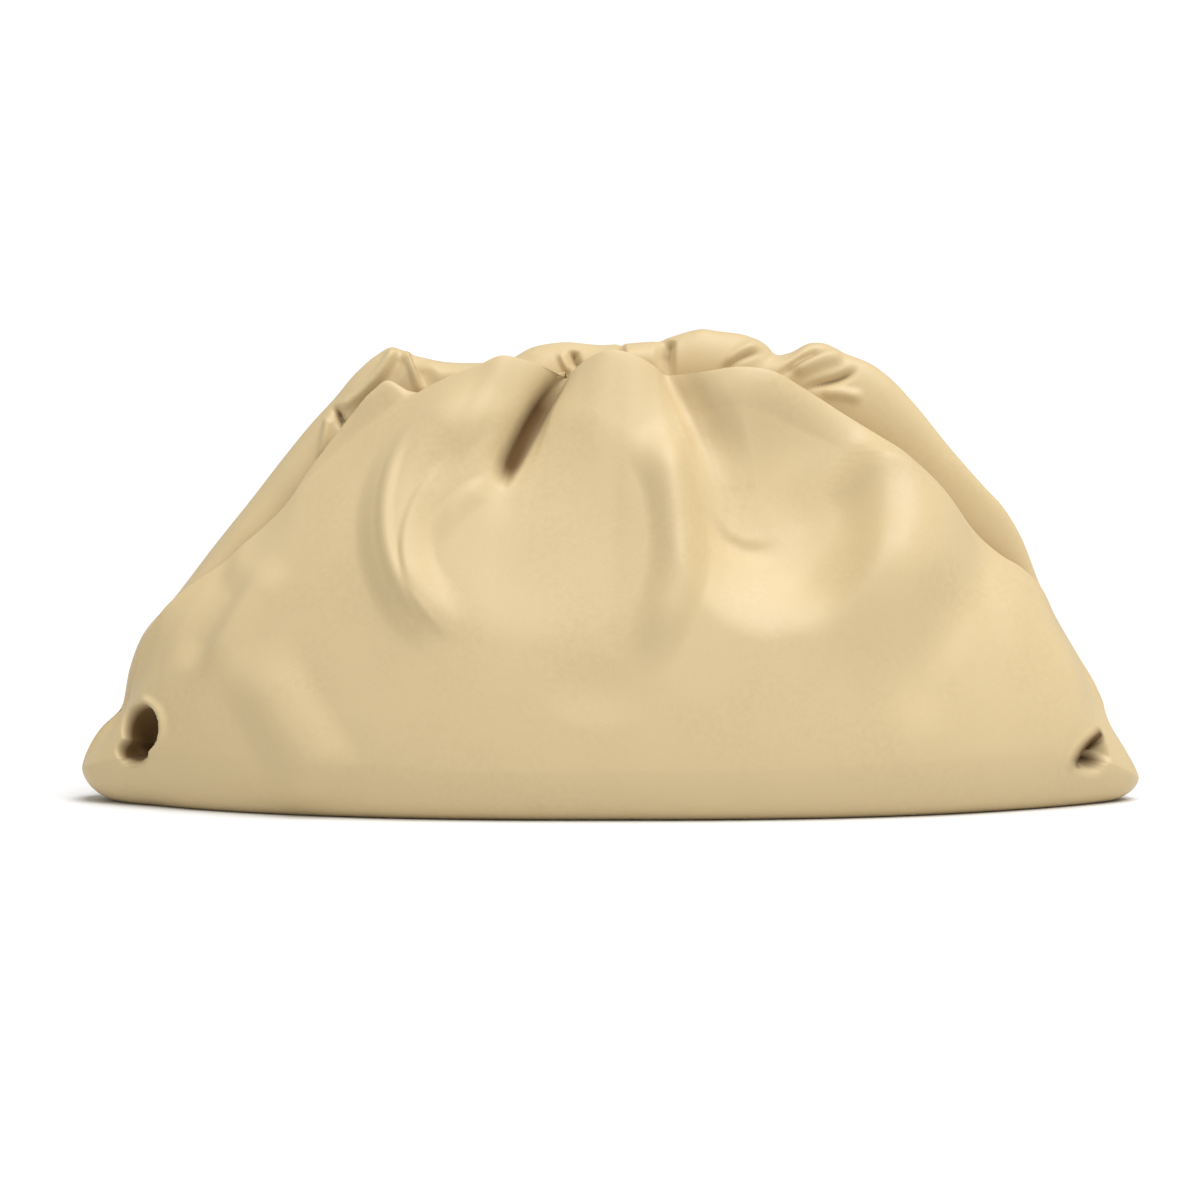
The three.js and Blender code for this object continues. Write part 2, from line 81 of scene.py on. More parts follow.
# A lip's arch is its crest averaged over this reach, a share of the way along the mouth, with this
# many samples. Its lobes are what the average leaves out, and they fade out over this share of the
# way from the crest to the belly.
lobe_reach = 0.05
lobe_samples = 9
lobe_fade = 0.5

# Near the crest the leather falls away by this slope more, over this share of the way out
lip_slope = 0.30
lip_slope_reach = 0.35

# However hard a column is pulled in under the lip, it meets the belly with this roundness
roundest_pull = 1.6

# How much of the body's folds reaches the crest of each lip
front_crest_share = 0.1
back_crest_share = 0.1

# Over this share of the mouth at each end the folds fade in
fold_end_reach = 0.012

# A lip's folds are full at the first of these shares of the roll over the lip, shrink from the
# second on to the part that is left at the crest, and end at this share of the way to the belly.
lip_fold_start = 0.4
lip_fold_turn = 0.6
lip_fold_left = 0.25
lip_fold_end = 1 / 8

# The body's folds are full at this share of the way from the crest to the belly, and they fade
# over this share of the way from the foot up to the belly.
body_fold_start = 1 / 6
body_fold_fade = 0.7

# The thin inner edge of the front lip: over these shares of the roll over the lip it is at its
# full height, starts to sink and is gone.
inner_lip_full = 0.55
inner_lip_turn = 0.62
inner_lip_end = 0.95

# A sharp fold is this much fuller than a plain cusp. Where it is a crease, the painted shade of its
# dark line reaches over these shares of its wider side, to the viewer's left and right.
sharp_crest_fullness = 0.6
crease_shade_left_share = 0.65
crease_shade_right_share = 0.24

# Hollows that reach less far than this to each side are tucks, whose depth is painted as deep shade
tuck_px = 30

# How finely each panel is divided: columns along the mouth, and rows in each band down a column
Bands = namedtuple("Bands", "columns flap roll upper lower base")
front_bands = Bands(500, 4, 16, 136, 16, 4)
back_bands = Bands(600, 4, 30, 72, 16, 4)

# The inner surface of a panel has every few of the outer one's columns and rows
inner_step = 4

# How many straight steps stand for the path of a fold
fold_steps = 48

# Where the columns lie closer together: station, reach along the mouth and how much denser
CORNER_GATHERS = [(0.000, 0.09, 2.0), (1.000, 0.07, 2.0)]
FRONT_GATHERS = [(0.480, 0.12, 0.9), (0.465, 0.02, 2.0), (0.548, 0.03, 1.0), (0.300, 0.05, 0.8)]
BACK_GATHERS = [(0.320, 0.06, 3.0), (0.525, 0.03, 2.5), (0.640, 0.07, 3.0), (0.450, 0.04, 1.5)]
density_samples = 2001

# Crests of the two lips, left to right. x and y are pixels of the front view and
# across is millimetres from the middle of the bag, the front being negative.
FRONT_CREST = [
    (123, 709, 0), (131, 690, -4), (138, 661, -8), (144, 644, -9), (154, 625, -10), (167, 607, -11),
    (186, 590, -11), (207, 575, -11), (226, 562, -11), (243, 546, -12), (263, 529, -12),
    (282, 511, -13), (303, 485, -13), (330, 460, -13), (355, 439, -13), (387, 414, -14),
    (418, 394, -15), (449, 378, -17), (480, 366, -19), (503, 357, -20), (524, 361, -19),
    (546, 368.5, -15.5), (559, 374, -11.5), (567, 377.5, -8.5), (571, 374, -15), (588, 360, -18.5),
    (606, 352, -20), (622, 352.5, -20), (640, 359, -19), (655, 368, -16.5), (666, 376, -11),
    (680, 375.5, -13), (702, 373, -17), (743, 368, -19), (771, 372, -18), (801, 388, -15),
    (837, 411, -13), (878, 438, -11), (905, 461, -9), (931, 486, -7), (949, 506, -5),
    (967, 526, -3), (985, 543, -1), (1003, 557, 0), (1020, 567, 1), (1038, 583, 1),
    (1056, 617, 1), (1080, 658, 1), (1096, 685, 1), (1105, 708, 0.5), (1106, 729, 0),
]
BACK_CREST = [
    (121, 710, 0), (123, 700, 3), (129, 667, 6), (141, 636, 8), (173, 598, 8), (213, 546, 8),
    (253, 496, 8), (284, 456, 8), (311, 423, 8), (334, 398, 8), (357, 371, 8), (377, 354, 8),
    (391, 346.5, 8), (407, 351, 8), (438, 360, 9), (470, 362, 9), (510, 358, 9), (531, 347, 9),
    (560, 341.5, 9), (604, 344, 9), (621, 343, 9), (646, 341, 9), (659, 340, 9), (671, 336, 10),
    (687, 331, 10), (702, 328, 10), (717, 330, 10), (748, 335, 10), (765, 343, 9), (777, 354, 9),
    (789, 352, 10), (811, 342, 10), (825, 342.5, 10), (842, 351, 10), (873, 364, 10),
    (888, 375, 10), (914, 402, 10), (949, 445, 10), (985, 486, 10), (1003, 505, 11),
    (1019, 530, 11.5), (1042, 586, 11), (1066, 638, 9), (1083, 672, 7), (1095, 695, 4),
    (1104, 727, 0),
]

# The slit between the lips: station, across, drop below the crest, depth of the flap.
# A station is the share of the way along the mouth, and the rest are millimetres.
SLIT = [
    (0.00, 0.0, 1.5, 4), (0.03, -2.0, 2.0, 6), (0.08, -6.0, 3.0, 10), (0.20, -6.0, 3.5, 18),
    (0.35, -4.0, 4.5, 22), (0.45, -3.0, 5.0, 22), (0.55, -2.0, 5.0, 22), (0.70, -1.0, 4.5, 22),
    (0.80, 3.0, 4.0, 18), (0.87, 6.0, 5.0, 12), (0.93, 6.0, 5.0, 9), (0.975, 3.0, 4.0, 6),
    (1.00, 0.0, 1.5, 4),
]

# The body below the lips, the same at the front and back. All but the station and the
# two pulls are millimetres. A pull of 1 is a full round and one of 2 a flat slope.
Body = namedtuple(
    "Body",
    "station belly_x belly_out belly_up foot_x foot_out seam_x upper_pull lower_pull",
)
BODY = [
    Body(0.000, -189.6, 0.0, 11.5, -176, 0, -168, 1.45, 1.10),
    Body(0.020, -188.0, 8.0, 12.5, -175, 6, -166, 3.80, 1.10),
    Body(0.045, -181.0, 16.0, 15.0, -171, 12, -162, 3.00, 1.10),
    Body(0.080, -169.0, 25.0, 18.0, -162, 19, -156, 1.80, 1.10),
    Body(0.130, -151.0, 38.0, 20.0, -147, 31, -143, 1.40, 1.05),
    Body(0.200, -124.0, 53.0, 20.0, -121, 45, -118, 1.40, 1.00),
    Body(0.300, -84.0, 67.0, 19.0, -81, 58, -80, 1.45, 1.00),
    Body(0.400, -42.0, 73.5, 18.0, -40, 64, -40, 1.50, 1.00),
    Body(0.500, 0.0, 74.5, 18.0, 0, 65, 0, 1.50, 1.00),
    Body(0.600, 42.0, 73.5, 18.0, 41, 64, 40, 1.50, 1.00),
    Body(0.700, 85.0, 67.0, 19.0, 83, 58, 82, 1.45, 1.00),
    Body(0.800, 126.0, 54.0, 20.0, 122, 45, 120, 1.35, 1.00),
    Body(0.870, 153.0, 39.0, 20.0, 148, 31, 144, 1.25, 1.05),
    Body(0.920, 170.0, 27.0, 18.0, 164, 20, 157, 1.25, 1.10),
    Body(0.955, 181.0, 17.0, 14.0, 173, 12, 164, 2.00, 1.10),
    Body(0.980, 188.0, 8.0, 10.0, 178, 6, 168, 2.40, 1.10),
    Body(1.000, 190.3, 0.0, 8.0, 180, 0, 172, 1.60, 1.10),
]

# Folds. Each follows a bowed path in the front view, from its start to its end in pixels.
# widths are how far it reaches in pixels, to the viewer's left and right where the path runs down.
# rise is millimetres, fades are shares of the path, and edge is 0 for a round crest and 1 for a
# sharp one.
Fold = namedtuple("Fold", "start bow turn end widths rise fades edge")
deep_crease = Fold((567, 372), (554, 400), (530, 430), (502, 490), (34, 5), -4.5, (0.06, 0.20), 0.9)
lobe_valley = Fold((672, 372), (684, 402), (700, 440), (722, 482), (14, 46), -3.2, (0.30, 0.45), 0)
FRONT_FOLDS = [
    # The broad ridge left of the crease, with its fine outer and inner lines
    Fold((500, 385), (394, 440), (342, 560), (466, 642), (38, 40), 5.0, (0.20, 0.25), 0),
    Fold((424, 420), (380, 490), (378, 582), (448, 634), (12, 9), 1.3, (0.30, 0.20), 0),
    Fold((462, 455), (400, 505), (392, 592), (462, 640), (9, 26), 1.7, (0.25, 0.20), 0),
    # The ridges that close the two hollows on their right
    Fold((640, 425), (692, 480), (700, 590), (632, 668), (34, 30), 5.0, (0.25, 0.25), 0),
    Fold((850, 425), (932, 468), (930, 588), (776, 652), (62, 96), 10.5, (0.22, 0.40), 0),
    Fold((832, 440), (860, 490), (860, 585), (788, 636), (84, 26), -3.0, (0.40, 0.30), 0),
    # The deep crease and the small ridge that leaves its lower end
    deep_crease,
    Fold((496, 480), (468, 489), (445, 510), (434, 545), (12, 18), 1.0, (0.30, 0.40), 0),
    # The valley on the right of the middle lobe
    lobe_valley,
    # The curled line across the right hollow
    Fold((698, 470), (704, 532), (732, 556), (796, 534), (18, 14), -1.3, (0.30, 0.30), 0),
    # Soft shapes of the lower front
    Fold((940, 560), (925, 620), (915, 680), (920, 740), (40, 40), -1.6, (0.30, 0.30), 0),
    Fold((905, 440), (988, 500), (1026, 560), (1030, 700), (36, 40), 2.0, (0.20, 0.40), 0),
    Fold((250, 560), (222, 600), (205, 630), (185, 675), (24, 24), -2.0, (0.30, 0.30), 0),
    Fold((290, 560), (258, 590), (230, 630), (205, 690), (24, 26), 2.0, (0.30, 0.30), 0),
    Fold((250, 640), (268, 690), (298, 740), (340, 795), (46, 50), 3.4, (0.40, 0.20), 0),
    # The tucks at the lower corners
    Fold((140, 700), (172, 706), (176, 746), (126, 769), (5, 9), 1.4, (0.10, 0.15), 0),
    Fold((1104, 738), (1091, 742), (1080, 752), (1075, 770), (5, 26), -8.0, (0.10, 0.15), 0.8),
    Fold((1098, 732), (1084, 738), (1073, 750), (1066, 770), (8, 5), 1.2, (0.20, 0.10), 0),
]

# The front's columns bend to follow two of its folds: how far the bend reaches along the mouth to
# the left and right of the fold, and over what share of the rows between the fold's end and the
# belly the columns straighten again.
Followed = namedtuple("Followed", "fold left_reach right_reach release")
FOLLOWED_FOLDS = [Followed(deep_crease, 0.14, 0.08, 0.7), Followed(lobe_valley, 0.03, 0.10, 1.0)]

# Hollows: centre and radii in pixels, rise in millimetres, how flat the floor is, and how much
# deeper it lies at its top than at its middle.
Hollow = namedtuple("Hollow", "centre radii rise flatness tilt")
FRONT_HOLLOWS = [
    Hollow((540, 526), (140, 122), -4.0, 1.4, 0.2),
    Hollow((770, 504), (108, 138), -14.0, 1.2, 0.0),
    Hollow((600, 690), (60, 40), -1.0, 1.0, 0.0),
    Hollow((144, 728), (21, 27), -12.0, 2.2, 0.0),
    Hollow((136, 750), (19, 15), -8.0, 2.0, 0.0),
    Hollow((1093, 757), (15, 16), -4.0, 1.5, 0.0),
]

# Folds of the back lip, seen over the front one
BACK_LIP_FOLDS = [
    Fold((669, 338), (668, 350), (668, 364), (669, 386), (17, 9), -3.6, (0.10, 0.05), 0.5),
    Fold((575, 349), (573, 358), (577, 364), (582, 374), (10, 7), -3.0, (0.20, 0.10), 0.8),
    Fold((561, 352), (562, 360), (566, 366), (571, 374), (6, 6), 1.2, (0.20, 0.20), 0),
    Fold((621, 340), (621, 344), (622, 350), (624, 360), (6, 5), -3.0, (0.05, 0.40), 0.8),
    Fold((720, 374), (734, 356), (748, 346), (766, 344), (9, 12), 1.8, (0.30, 0.30), 0),
    Fold((722, 374), (732, 361), (744, 354), (764, 349), (7, 7), -1.8, (0.15, 0.40), 0.8),
    Fold((776, 382), (792, 364), (806, 355), (828, 347), (7, 8), -2.4, (0.08, 0.25), 0.8),
    Fold((790, 374), (806, 362), (826, 354), (846, 354), (12, 10), 2.2, (0.20, 0.20), 0),
    Fold((800, 393), (818, 380), (838, 385), (860, 364), (9, 7), -3.0, (0.08, 0.25), 0.8),
    Fold((818, 394), (836, 391), (850, 396), (866, 398), (8, 9), 1.8, (0.20, 0.30), 0),
    Fold((396, 346), (384, 374), (364, 394), (338, 412), (9, 7), 2.4, (0.10, 0.15), 0.7),
    Fold((402, 350), (394, 376), (374, 398), (340, 430), (6, 12), -1.6, (0.15, 0.30), 0),
    Fold((405, 349), (412, 362), (416, 376), (420, 394), (7, 6), 1.8, (0.12, 0.10), 0.3),
    Fold((410, 350), (418, 364), (424, 378), (430, 392), (6, 16), -2.2, (0.12, 0.20), 0.5),
    Fold((334, 404), (338, 412), (342, 422), (350, 436), (8, 7), -3.6, (0.30, 0.15), 1),
    Fold((331, 416), (327, 430), (325, 446), (322, 460), (7, 7), 2.2, (0.15, 0.20), 0.5),
]

# The thin inner edge of the front lip that stands up behind its left part: station and rise
# in millimetres.
INNER_LIP = [
    (0.00, 0.0), (0.205, 0.0), (0.245, 4.0), (0.275, 7.5), (0.298, 10.0), (0.311, 9.5),
    (0.320, 3.0), (0.327, 0.0), (1.00, 0.0),
]

# Folds and hollows of the rear face, laid out in the same front view
REAR_FOLDS = [
    Fold((451, 379), (408, 463), (398, 538), (451, 632), (42, 48), 5.2, (0.25, 0.30), 0),
    Fold((620, 365), (668, 445), (657, 538), (599, 613), (42, 42), 5.2, (0.25, 0.30), 0),
    Fold((784, 370), (837, 435), (858, 538), (811, 641), (48, 48), 5.6, (0.25, 0.30), 0),
    Fold((541, 370), (546, 403), (551, 435), (541, 477), (30, 30), -3.4, (0.50, 0.40), 0),
    Fold((715, 370), (721, 398), (731, 435), (737, 482), (30, 30), -3.4, (0.50, 0.40), 0),
]
REAR_HOLLOWS = [
    Hollow((520, 538), (95, 108), -5.6, 1.2, 0.0),
    Hollow((731, 548), (90, 108), -6.0, 1.2, 0.0),
    Hollow((292, 604), (79, 84), -3.8, 1.0, 0.0),
    Hollow((146, 740), (24, 33), -6.0, 1.0, 0.0),
    Hollow((1078, 747), (24, 28), -6.0, 1.0, 0.0),
]

# The camera: how far away, how many degrees above the horizon, and what it looks at
camera_distance = 3.0
camera_elevation = 5.0
camera_target_mm = (-3.4, 0, 71.9)
picture_px = 1200
sensor_mm = 36

# A soft light 50 degrees broad from above, a little from the right and the front, in an evenly lit
# studio
sun_strength = 3.15
sun_spread = 50
sun_from = (0.25, -0.22, 0.94)
studio_strength = 0.44

# The floor: its half width, how far under the bag it lies, its clouding and its two tones
floor_half = 40.0
floor_drop_mm = 0.1
cloud_mm = 400
floor_dark = (0.78, 0.78, 0.78)
floor_light = (0.80, 0.80, 0.80)

# The leather's colour, linear, the scales of its mottling and grain, and the depth of the grain
leather_colour = (0.617, 0.481, 0.265)
mottle_mm = 28
speckle_mm = 2.2
pore_mm = 0.7
pore_depth_mm = 0.06
grain_mm = 0.35
grain_depth_mm = 0.04

# The leather's roughness where it is smoothest, roughest and in a crease
gloss_rough = 0.42
matt_rough = 0.52
crease_rough = 1.0

# Painted shade in the creases: the crease depths at which it starts and is full, and how dark and how
# warm it makes the leather's colour
crease_shade_from_mm = 0.2
crease_shade_full_mm = 4
crease_shade_tone = 0.22
crease_shade_warmth = 0.60

# The hidden bar's brushed steel: how fine its brush strokes are along and across it, its two tones
# and its roughness between and on the strokes
brush_scale = (60, 900, 900)
steel_dark = (0.42, 0.42, 0.41)
steel_light = (0.62, 0.62, 0.60)
steel_polished = 0.25
steel_brushed = 0.45


def mix(low, high, share):
    return low + (high - low) * share


def smooth_step(value):
    t = np.clip(value, 0, 1)
    return t * t * (3 - 2 * t)


def seen_point(x, y):
    """A pixel of the front view, as millimetres along the bag and up from the floor."""
    return (x - middle_px) * px, (floor_px - y) * px


def front_point(row):
    """A place of the front view, given as x, y in pixels and across in millimetres."""
    x, y, across = row
    along, up = seen_point(x, y)
    return (along, across, up - view_slope * across)


def chord_stations(points):
    """How far along the chain of points each one lies, from 0 to 1."""
    steps = np.linalg.norm(np.diff(np.array(points, float), axis=0), axis=1)
    stations = np.concatenate([[0], np.cumsum(steps)])
    return stations / stations[-1]


def curve_through(stations, rows, at):
    """A smooth curve through the rows, read at many stations."""
    x = np.asarray(stations, float)
    points = np.asarray(rows, float)
    span = np.diff(x)[:, None]
    slope = np.diff(points, axis=0) / span
    tangent = np.empty_like(points)
    tangent[1:-1] = (slope[:-1] * span[1:] + slope[1:] * span[:-1]) / (span[1:] + span[:-1])
    tangent[0] = 1.5 * slope[0] - 0.5 * tangent[1]
    tangent[-1] = 1.5 * slope[-1] - 0.5 * tangent[-2]
    i = np.clip(np.searchsorted(x, at, side="right") - 1, 0, len(x) - 2)
    h = (x[i + 1] - x[i])[:, None]
    q = ((at - x[i]) / (x[i + 1] - x[i]))[:, None]
    start = points[i] * (2 * q**3 - 3 * q**2 + 1) + tangent[i] * h * (q**3 - 2 * q**2 + q)
    end = points[i + 1] * (3 * q**2 - 2 * q**3) + tangent[i + 1] * h * (q**3 - q**2)
    return start + end


def read_table(rows, at):
    """A table whose first column is the station, read at many stations."""
    return curve_through([row[0] for row in rows], [row[1:] for row in rows], at)


def crest_reader(rows):
    """A function that gives the crest's points at many stations."""
    points = [front_point(row) for row in rows]
    stations = chord_stations(points)
    return lambda at: curve_through(stations, points, at)


front_crest = crest_reader(FRONT_CREST)
back_crest = crest_reader(BACK_CREST)


def smoothed_crest(crest, stations):
    """The crest with its lobes smoothed away."""
    room = np.minimum(1, np.minimum(stations, 1 - stations) / lobe_reach)
    offsets = np.linspace(-lobe_reach, lobe_reach, lobe_samples)
    return sum(crest(np.clip(stations + offset * room, 0, 1)) for offset in offsets) / lobe_samples


def column_stations(count, gathers):
    """Stations of the columns, closer together at the gathers and at both corners."""
    at = np.linspace(0, 1, density_samples)
    density = np.ones_like(at)
    for middle, reach, extra in CORNER_GATHERS + gathers:
        density += extra * np.exp(-((at - middle) / reach) ** 2)
    total = np.concatenate([[0], np.cumsum((density[1:] + density[:-1]) / 2)])
    return np.interp(np.linspace(0, total[-1], count + 1), total, at)


def body_at(stations):
    """The body's measures at many stations."""
    return Body(stations, *read_table(BODY, stations).T)


def belly_row(side, body):
    return np.stack([body.belly_x, side * body.belly_out, body.belly_up], 1)


def upper_row(side, stations, lobe_stations, share):
    """One row between the crest and the belly; share runs from 0 at the crest to 1 at the belly."""
    crest_of_side = front_crest if side < 0 else back_crest
    arch = smoothed_crest(crest_of_side, stations)
    lobe = crest_of_side(lobe_stations) - smoothed_crest(crest_of_side, lobe_stations)
    body = body_at(stations)
    belly = belly_row(side, body)
    angle = share * math.pi / 2
    out = math.sin(angle) ** body.upper_pull
    fall = lip_slope * out * np.exp(-(out / lip_slope_reach) ** 2)
    up = math.cos(angle) ** np.minimum(body.upper_pull, roundest_pull) * (1 - fall)
    point = arch + (belly - arch) * out[:, None]
    point[:, 2] = mix(body.belly_up, arch[:, 2], up)
    return point + lobe * smooth_step(1 - share / lobe_fade)


def crossing_station(points, stations, path):
    """The station where a row of the front crosses a path, and how high it is seen there."""
    seen_up = points[:, 2] + view_slope * points[:, 1]
    offset = points[:, 0] - np.interp(seen_up, path[:, 1], path[:, 0])
    crossing = np.interp(0, offset, stations)
    return crossing, np.interp(crossing, stations, seen_up)


def bent_columns(stations, bands, followed):
    """How far the columns bend in each upper row of the front to follow a fold."""
    path = path_points(followed.fold)[::-1]
    fold_end_height = path[0][1]
    first, _ = crossing_station(front_crest(stations), stations, path)
    lobe_stations = np.full_like(stations, first)
    shifts = []
    past_end = 0
    for k in range(bands.upper):
        row = upper_row(-1, stations, lobe_stations, k / bands.upper)
        crossing, height = crossing_station(row, stations, path)
        if height < fold_end_height:
            past_end += 1
            shifts.append(shifts[-1])
        else:
            shifts.append(crossing - first)
    rows_past_end = np.arange(bands.upper) - (bands.upper - 1 - past_end)
    shifts = np.array(shifts) * smooth_step(1 - rows_past_end / (past_end * followed.release))
    off = stations - first
    near = np.clip(np.abs(off) / np.where(off < 0, followed.left_reach, followed.right_reach), 0, 1)
    return np.outer(shifts, (1 - near**2)**2)


def mouth_slit(side, lip, stations):
    """The edge where a flap starts inside the mouth, the way it points and how deep it hangs."""
    across, drop, flap = read_table(SLIT, stations).T
    inward = np.zeros_like(lip)
    inward[:, 0] = -flap_aim_share * lip[:, 0]
    inward[:, 2] = flap_aim_height_mm - lip[:, 2]
    inward /= np.linalg.norm(inward, axis=1)[:, None]
    open_share = np.minimum(1, np.minimum(stations, 1 - stations) / mouth_open_reach)
    slit = lip + inward * drop[:, None]
    slit[:, 1] = across + side * mix(seam_gap_mm, mouth_gap_mm, open_share) / 2
    return slit, inward, flap


def flap_rows(slit, inward, flap, bands):
    return [slit + inward * (flap * (1 - k / bands.flap))[:, None] for k in range(bands.flap)]


def roll_rows(slit, crest, bands):
    """From the slit over the lip to its crest, as a quarter of an oval."""
    rows = []
    for k in range(bands.roll):
        angle = k / bands.roll * math.pi / 2
        shares = np.array([math.sin(angle), 1 - math.cos(angle), math.sin(angle)])
        rows.append(slit + (crest - slit) * shares)
    return rows


def upper_rows(side, stations, bands):
    """From the crest down to the belly; the front's columns follow its two followed folds."""
    bend = np.zeros((bands.upper, len(stations)))
    if side < 0:
        bend = sum(bent_columns(stations, bands, followed) for followed in FOLLOWED_FOLDS)
    return [upper_row(side, stations + bend[k], stations, k / bands.upper) for k in range(bands.upper)]


def lower_rows(belly, foot, body, bands):
    """From the belly down and in to the foot."""
    rows = []
    for k in range(bands.lower):
        angle = k / bands.lower * math.pi / 2
        out = math.cos(angle) ** body.lower_pull
        point = foot + (belly - foot) * out[:, None]
        point[:, 2] = body.belly_up * (1 - math.sin(angle) ** body.lower_pull)
        rows.append(point)
    return rows


def base_rows(foot, seam, bands):
    """Flat on the floor from the foot to the seam under the bag."""
    return [mix(foot, seam, k / bands.base) for k in range(bands.base + 1)]


def panel_surface(side, stations, bands):
    """The outer surface of a panel in millimetres, as a grid of columns and rows."""
    lip = front_crest(stations)
    crest = lip if side < 0 else back_crest(stations)
    slit, inward, flap = mouth_slit(side, lip, stations)
    body = body_at(stations)
    on_floor = np.zeros_like(stations)
    foot = np.stack([body.foot_x, side * body.foot_out, on_floor], 1)
    seam = np.stack([body.seam_x, on_floor + side * seam_gap_mm / 2, on_floor], 1)
    rows = flap_rows(slit, inward, flap, bands)
    rows += roll_rows(slit, crest, bands)
    rows += upper_rows(side, stations, bands)
    rows += lower_rows(belly_row(side, body), foot, body, bands)
    rows += base_rows(foot, seam, bands)
    return np.stack(rows, 1), inward


def grid_normals(grid, side):
    """Unit vectors out of the surface, one for each place of the grid."""
    normals = np.cross(np.gradient(grid, axis=0), np.gradient(grid, axis=1))
    normals /= np.maximum(np.linalg.norm(normals, axis=2), 1e-9)[:, :, None]
    return normals * side


def path_points(fold):
    """The points of a fold's path, as millimetres along the bag and up from the floor."""
    t = np.linspace(0, 1, fold_steps + 1)[:, None]
    corners = (fold.start, fold.bow, fold.turn, fold.end)
    start, bow, turn, end = [np.array(seen_point(x, y)) for x, y in corners]
    return start * (1 - t)**3 + bow * 3 * t * (1 - t)**2 + turn * 3 * t**2 * (1 - t) + end * t**3


def nearest_on_path(path, along, up):
    """For each point: distance to the path, share of the way along it, and side of it."""
    best = np.full(along.shape, np.inf)
    share = np.zeros_like(along)
    side = np.zeros_like(along)
    for k in range(fold_steps):
        step = path[k + 1] - path[k]
        t = ((along - path[k][0]) * step[0] + (up - path[k][1]) * step[1]) / (step @ step)
        t = np.clip(t, 0, 1)
        off_x = along - path[k][0] - t * step[0]
        off_z = up - path[k][1] - t * step[1]
        distance = np.hypot(off_x, off_z)
        nearer = distance < best
        best = np.where(nearer, distance, best)
        share = np.where(nearer, (k + t) / fold_steps, share)
        side = np.where(nearer, step[0] * off_z - step[1] * off_x, side)
    return best, share, side


def fold_field(folds, along, up):
    """Rise over the surface that the folds give each point, and the depth of the sharp creases, kept
    for painted shade.
    """
    rise = np.zeros_like(along)
    crease_shade = np.zeros_like(along)
    for fold in folds:
        distance, share, side = nearest_on_path(path_points(fold), along, up)
        left, right = fold.widths
        width = np.where(side > 0, right, left) * px
        q = np.clip(distance / width, 0, 1)
        round_crest = (1 - q * q)**2
        sharp_crest = (1 - q)**2 * (1 + sharp_crest_fullness * q)
        fade_in, fade_out = fold.fades
        fade = smooth_step(share / fade_in) * smooth_step((1 - share) / fade_out)
        rise += fold.rise * mix(round_crest, sharp_crest, fold.edge) * fade
        # A sharp crease's depth is kept as painted shade along its dark line
        if fold.rise < 0 and fold.edge:
            reach = np.where(side > 0, crease_shade_right_share, crease_shade_left_share) * max(fold.widths) * px
            shade = smooth_step(1 - distance / reach)
            crease_shade = np.maximum(crease_shade, -fold.rise * fold.edge * shade * fade)
    return rise, crease_shade


def hollow_field(hollows, along, up):
    """Rise over the surface that the hollows give each point, and the depth of the small ones, kept
    for painted shade.
    """
    rise = np.zeros_like(along)
    crease_shade = np.zeros_like(along)
    for hollow in hollows:
        centre_along, centre_up = seen_point(*hollow.centre)
        half_x, half_y = hollow.radii
        off_x = (along - centre_along) / (half_x * px)
        off_z = (up - centre_up) / (half_y * px)
        off = np.clip(off_x**2 + off_z**2, 0, 1)
        depth = hollow.rise * (1 - off**hollow.flatness)**2 * (1 + hollow.tilt * off_z)
        rise += depth
        # A tuck's depth is painted as deep shade
        if half_x < tuck_px:
            crease_shade -= depth
    return rise, crease_shade


def lip_fold_shares(bands):
    """How much of its lip's folds each row of a panel takes."""
    roll = np.arange(bands.roll) / bands.roll
    upper = np.arange(bands.upper) / bands.upper
    shrink = mix(1, lip_fold_left, smooth_step((roll - lip_fold_turn) / (1 - lip_fold_turn)))
    return np.concatenate([
        np.zeros(bands.flap),
        smooth_step(roll / lip_fold_start) * shrink,
        lip_fold_left * smooth_step(1 - upper / lip_fold_end),
        np.zeros(bands.lower + bands.base + 1),
    ])


def body_fold_shares(bands, crest_share):
    """How much of the body's folds each row of a panel takes."""
    roll = np.arange(bands.roll) / bands.roll
    upper = np.arange(bands.upper) / bands.upper
    lower = np.arange(bands.lower) / bands.lower
    return np.concatenate([
        np.zeros(bands.flap),
        crest_share * roll,
        mix(crest_share, 1, np.minimum(1, upper / body_fold_start)),
        np.minimum(1, (1 - lower) / body_fold_fade),
        np.zeros(bands.base + 1),
    ])


def end_fade(stations):
    """How much of the folds is left towards the two ends of the mouth, for every column."""
    return smooth_step(np.minimum(stations, 1 - stations) / fold_end_reach)[:, None]


def close_on_seam(grid, side):
    """Bring the two ends and the bottom edge of a panel back onto the seam."""
    for edge in (grid[0], grid[-1], grid[:, -1]):
        edge[:, 1] = side * seam_gap_mm / 2


def raise_inner_lip(grid, inward, stations):
    """Stand the thin inner edge of the front lip up out of the mouth."""
    stand = np.maximum(read_table(INNER_LIP, stations)[:, 0], 0)
    for k in range(front_bands.roll):
        q = k / front_bands.roll
        sunk = smooth_step((q - inner_lip_turn) / (inner_lip_end - inner_lip_turn))
        shape = smooth_step(q / inner_lip_full) * (1 - sunk)
        grid[:, front_bands.flap + k] -= inward * (stand * shape)[:, None]


def front_panel_grid():
    stations = column_stations(front_bands.columns, FRONT_GATHERS)
    grid, inward = panel_surface(-1, stations, front_bands)
    along = grid[:, :, 0]
    up = grid[:, :, 2] + view_slope * grid[:, :, 1]
    normals = grid_normals(grid, -1)
    fold_rise, fold_crease_shade = fold_field(FRONT_FOLDS, along, up)
    hollow_rise, hollow_crease_shade = hollow_field(FRONT_HOLLOWS, along, up)
    body_share = body_fold_shares(front_bands, front_crest_share)
    rise = (fold_rise + hollow_rise) * body_share * end_fade(stations)
    crease_shade = (fold_crease_shade + hollow_crease_shade) * body_share
    raise_inner_lip(grid, inward, stations)
    grid = grid + normals * rise[:, :, None]
    close_on_seam(grid, -1)
    return grid, crease_shade


